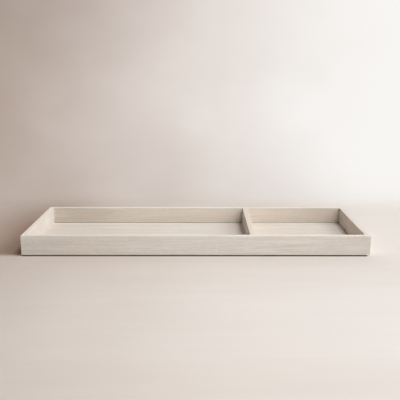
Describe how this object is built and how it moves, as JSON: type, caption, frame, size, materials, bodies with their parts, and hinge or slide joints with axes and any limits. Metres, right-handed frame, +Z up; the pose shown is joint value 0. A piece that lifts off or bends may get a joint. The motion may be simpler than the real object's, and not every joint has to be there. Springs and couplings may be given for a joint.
{
  "type": "changing tray",
  "caption": "Low open wooden tray with a long bay for a changing pad and a short bay for nappies and wipes, for the top of a dresser.",
  "frame": {"origin": "middle of the tray's outline, on the surface that its bumpers stand on", "axes": "+X along the width, towards the short bay; +Y towards the back rail with the threaded inserts; +Z up"},
  "size_m": [1.32, 0.48, 0.078],
  "materials": {
    "oak": "matte bleached oak with open grain",
    "oak_veneer": "matte bleached oak veneer on plywood",
    "beech": "raw, glued in",
    "zinc_steel": "bright zinc",
    "brass": "turned",
    "rubber": "matte"
  },
  "bodies": {
    "root": {"front_rail": "oak", "back_rail": "oak", "left_end": "oak", "right_end": "oak", "divider": "oak", "base_panel": "oak_veneer", "front_left_tongue": "beech", "front_right_tongue": "beech", "back_left_tongue": "beech", "back_right_tongue": "beech", "front_lower_dowel": "beech", "front_upper_dowel": "beech", "back_lower_dowel": "beech", "back_upper_dowel": "beech", "front_base_screw_1": "zinc_steel", "front_base_screw_2": "zinc_steel", "front_base_screw_3": "zinc_steel", "front_base_screw_4": "zinc_steel", "front_base_screw_5": "zinc_steel", "front_base_screw_6": "zinc_steel", "back_base_screw_1": "zinc_steel", "back_base_screw_2": "zinc_steel", "back_base_screw_3": "zinc_steel", "back_base_screw_4": "zinc_steel", "back_base_screw_5": "zinc_steel", "back_base_screw_6": "zinc_steel", "left_base_screw_1": "zinc_steel", "left_base_screw_2": "zinc_steel", "left_base_screw_3": "zinc_steel", "right_base_screw_1": "zinc_steel", "right_base_screw_2": "zinc_steel", "right_base_screw_3": "zinc_steel", "divider_screw_1": "zinc_steel", "divider_screw_2": "zinc_steel", "divider_screw_3": "zinc_steel", "bracket_insert_left_lower": "brass", "bracket_insert_left_upper": "brass", "bracket_insert_right_lower": "brass", "bracket_insert_right_upper": "brass", "bumper_front_left": "rubber", "bumper_front_long_bay": "rubber", "bumper_front_divider": "rubber", "bumper_front_right": "rubber", "bumper_back_left": "rubber", "bumper_back_long_bay": "rubber", "bumper_back_divider": "rubber", "bumper_back_right": "rubber", "bumper_long_bay_centre": "rubber", "bumper_short_bay_centre": "rubber"}
  },
  "joints": []
}
